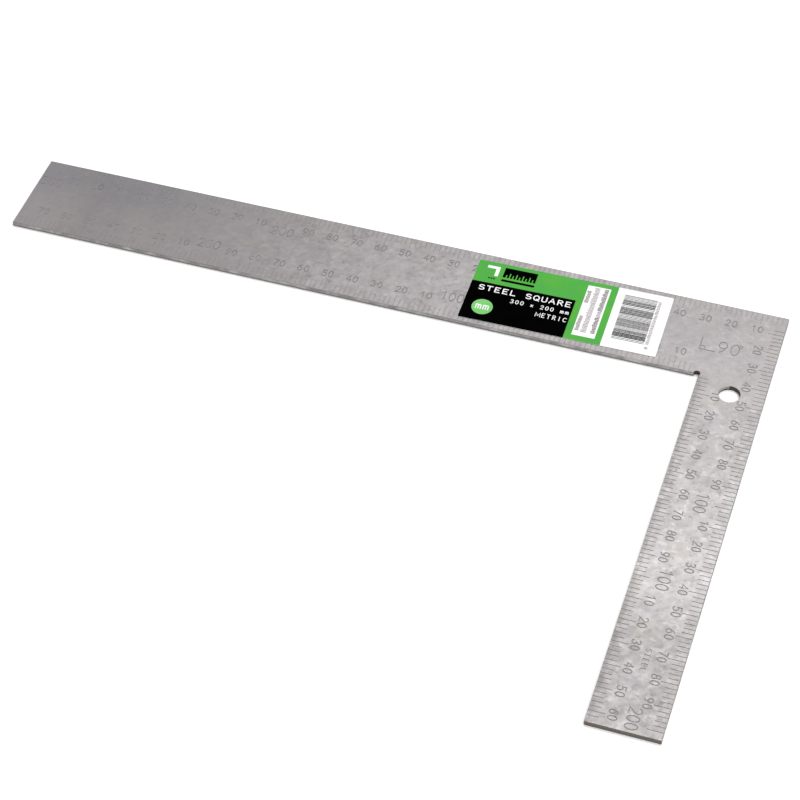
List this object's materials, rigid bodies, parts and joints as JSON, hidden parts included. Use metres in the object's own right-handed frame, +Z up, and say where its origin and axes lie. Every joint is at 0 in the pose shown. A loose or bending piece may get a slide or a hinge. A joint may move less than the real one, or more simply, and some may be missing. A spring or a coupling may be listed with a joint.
{
  "type": "steel square ruler",
  "caption": "Flat L-shaped steel square with engraved millimetre scales on all four long edges, a hanging hole and a printed label",
  "frame": {"origin": "centre of the overall box on the underside of the plate, which lies flat", "axes": "+Z is up out of the engraved face, +X runs along the long blade towards the square's corner, +Y points from the tongue's end towards the long blade"},
  "size_m": [0.3048, 0.2032, 0.0022],
  "materials": {
    "plate_steel": "pressed mild steel sheet, dull grey, rubbed and mottled, with darkened engraved lines",
    "adhesive": "thin clear acrylic glue layer",
    "printed_label": "coated white label stock printed green and black, low sheen"
  },
  "bodies": {
    "root": {"square_plate": "plate_steel", "label_adhesive": "adhesive", "label_sheet": "printed_label"}
  },
  "joints": []
}
